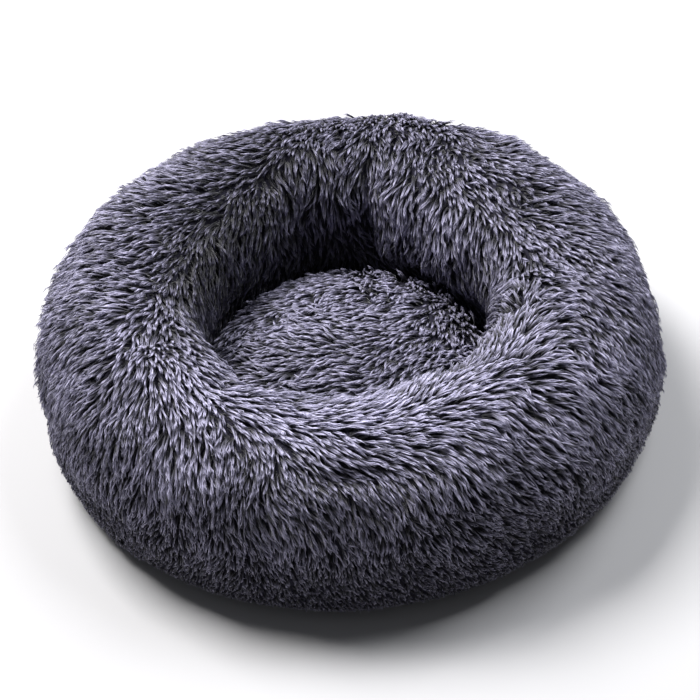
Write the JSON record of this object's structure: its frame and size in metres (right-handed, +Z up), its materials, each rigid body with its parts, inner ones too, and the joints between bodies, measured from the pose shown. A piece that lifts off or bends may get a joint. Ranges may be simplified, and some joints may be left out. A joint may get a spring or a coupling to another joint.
{
  "type": "pet cushion bed",
  "caption": "Round plush pet bed: a stuffed fur ring on a cloth base, with a loose cushion in the hollow and a zip under the base.",
  "frame": {"origin": "middle of the bed's footprint, on the floor", "axes": "+Z up, -Y towards the front of the bed, +X to its right as seen from the front"},
  "size_m": [0.5828, 0.5828, 0.1742],
  "materials": {
    "ring_fur": "long-pile plush, slate grey with pale lavender-grey tips",
    "cushion_fur": "long-pile plush, the same slate grey",
    "bag_cloth": "non-woven white cloth",
    "fibre": "polyester fibre",
    "base_cloth": "dark grey woven cloth, coated on the back",
    "piping": "grey woven cloth over a cord",
    "dots": "matt soft dots",
    "zip_tape": "woven tape",
    "zip_coil": "satin nylon",
    "zip_metal": "dark grey enamel"
  },
  "bodies": {
    "ring": {"ring_outer_panel_left": "ring_fur", "ring_outer_panel_right": "ring_fur", "ring_inner_panel": "ring_fur", "ring_fill_bag": "bag_cloth", "ring_fill": "fibre", "base_panel": "base_cloth", "base_piping": "piping", "anti_slip_dots": "dots", "zip_hem": "base_cloth", "zip_tape_outer": "zip_tape", "zip_tape_inner": "zip_tape", "zip_coil_outer": "zip_coil", "zip_coil_inner": "zip_coil", "zip_stops": "zip_metal"},
    "slider": {"zip_slider": "zip_metal"},
    "pull": {"zip_pull": "zip_metal"},
    "cushion": {"cushion_top_panel": "cushion_fur", "cushion_base_panel": "base_cloth", "cushion_fill_bag": "bag_cloth", "cushion_fill": "fibre"}
  },
  "joints": [
    {"name": "cushion_lift", "type": "slide", "parent": "ring", "child": "cushion", "axis": [0, 0, 1], "range_m": [0, 0.24]},
    {"name": "zip_run", "type": "hinge", "parent": "ring", "child": "slider", "pos_m": [0, 0, 0], "axis": [0, 0, 1], "range_deg": [0, 105]},
    {"name": "pull_turn", "type": "hinge", "parent": "slider", "child": "pull", "pos_m": [0.17356, 0.13191, 0.0021], "axis": [-0.7962, -0.6051, 0], "range_deg": [0, 178]}
  ]
}
